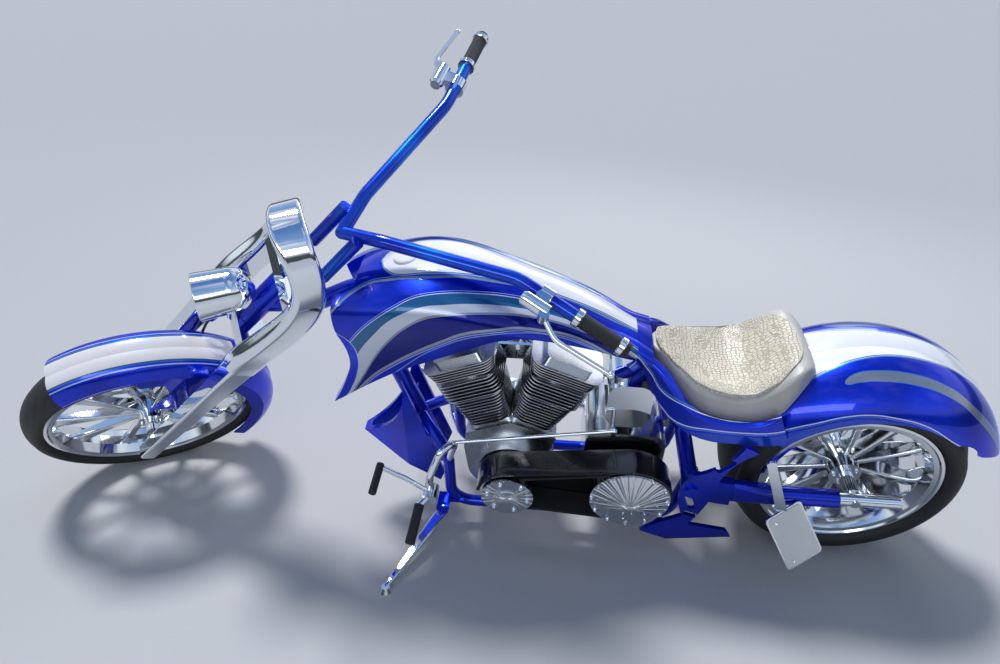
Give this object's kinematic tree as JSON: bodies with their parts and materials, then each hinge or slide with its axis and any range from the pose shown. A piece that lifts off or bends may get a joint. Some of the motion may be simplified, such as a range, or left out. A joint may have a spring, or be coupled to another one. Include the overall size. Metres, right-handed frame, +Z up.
{
  "type": "motorcycle",
  "caption": "Long low custom motorcycle with a raked fork, open V-twin and belt drive, leaning on its side stand with the bars turned left.",
  "frame": {"origin": "on the ground, under the middle of the whole machine as it stands", "axes": "+X towards the front wheel along the machine, +Y to its left, +Z up"},
  "size_m": [2.7666, 0.87, 1.3701],
  "materials": {
    "blue_paint": "gloss candy blue with stripes",
    "chrome": "polished",
    "bare_metal": "cast and machined",
    "disc_steel": "ground",
    "tyre_rubber": "matte",
    "black_rubber": "matte",
    "black_gloss": "gloss black",
    "lens_glass": "clear",
    "cream_leather": "embossed",
    "silver_leather": "smooth silver"
  },
  "bodies": {
    "front_wheel": {"front_wheel_rim": "chrome", "front_tyre": "tyre_rubber", "front_disc": "disc_steel"},
    "rear_wheel": {"rear_wheel_rim": "chrome", "rear_tyre": "tyre_rubber", "rear_pulley": "chrome"},
    "steering": {"fork_legs": "chrome", "front_axle": "chrome", "fork_arch": "chrome", "fork_trees": "blue_paint", "fork_sliders": "blue_paint", "handlebar": "blue_paint", "grips": "black_rubber", "hand_controls": "chrome", "headlight": "chrome", "headlight_lens": "lens_glass", "front_fender": "blue_paint", "front_caliper": "chrome", "front_brake_hose": "black_rubber"},
    "side_stand": {"side_stand": "chrome"},
    "frame": {"air_cleaner": "chrome", "axle_carriers": "chrome", "belt_guard": "black_gloss", "chin_panel": "blue_paint", "clutch": "chrome", "crankcase": "bare_metal", "cylinders": "bare_metal", "exhaust_pipes": "chrome", "final_belt": "black_rubber", "foot_controls": "chrome", "foot_pegs": "black_rubber", "frame_backbone": "blue_paint", "frame_cross_tubes": "blue_paint", "frame_downtube": "blue_paint", "frame_plates": "blue_paint", "frame_rails": "blue_paint", "gearbox": "chrome", "motor_plate": "black_gloss", "oil_tank": "chrome", "plate_holder": "chrome", "primary_belt": "black_rubber", "primary_pulley": "chrome", "pushrod_tubes": "chrome", "rear_axle": "chrome", "rear_caliper": "chrome", "rocker_boxes": "chrome", "seat_base": "silver_leather", "seat_cushion": "cream_leather", "shift_rod": "chrome", "swingarm": "blue_paint", "tail_body": "blue_paint", "tank": "blue_paint"}
  },
  "joints": [
    {"name": "steering", "type": "hinge", "parent": "frame", "child": "steering", "pos_m": [0.61171, 0.12889, 0.74604], "axis": [-0.6876, 0.151, 0.7102], "range_deg": [-69, 0]},
    {"name": "front_wheel", "type": "hinge", "parent": "steering", "child": "front_wheel", "pos_m": [1.07174, 0.04315, 0.29092], "axis": [-0.4113, 0.7251, -0.5523], "continuous": true},
    {"name": "rear_wheel", "type": "hinge", "parent": "frame", "child": "rear_wheel", "pos_m": [-1.00751, 0.04069, 0.33108], "axis": [0, 0.9781, -0.2079], "continuous": true},
    {"name": "side_stand", "type": "hinge", "parent": "frame", "child": "side_stand", "pos_m": [0.1365, 0.15799, 0.07491], "axis": [0.0183, 0.342, 0.9395], "range_deg": [0, 100]}
  ]
}
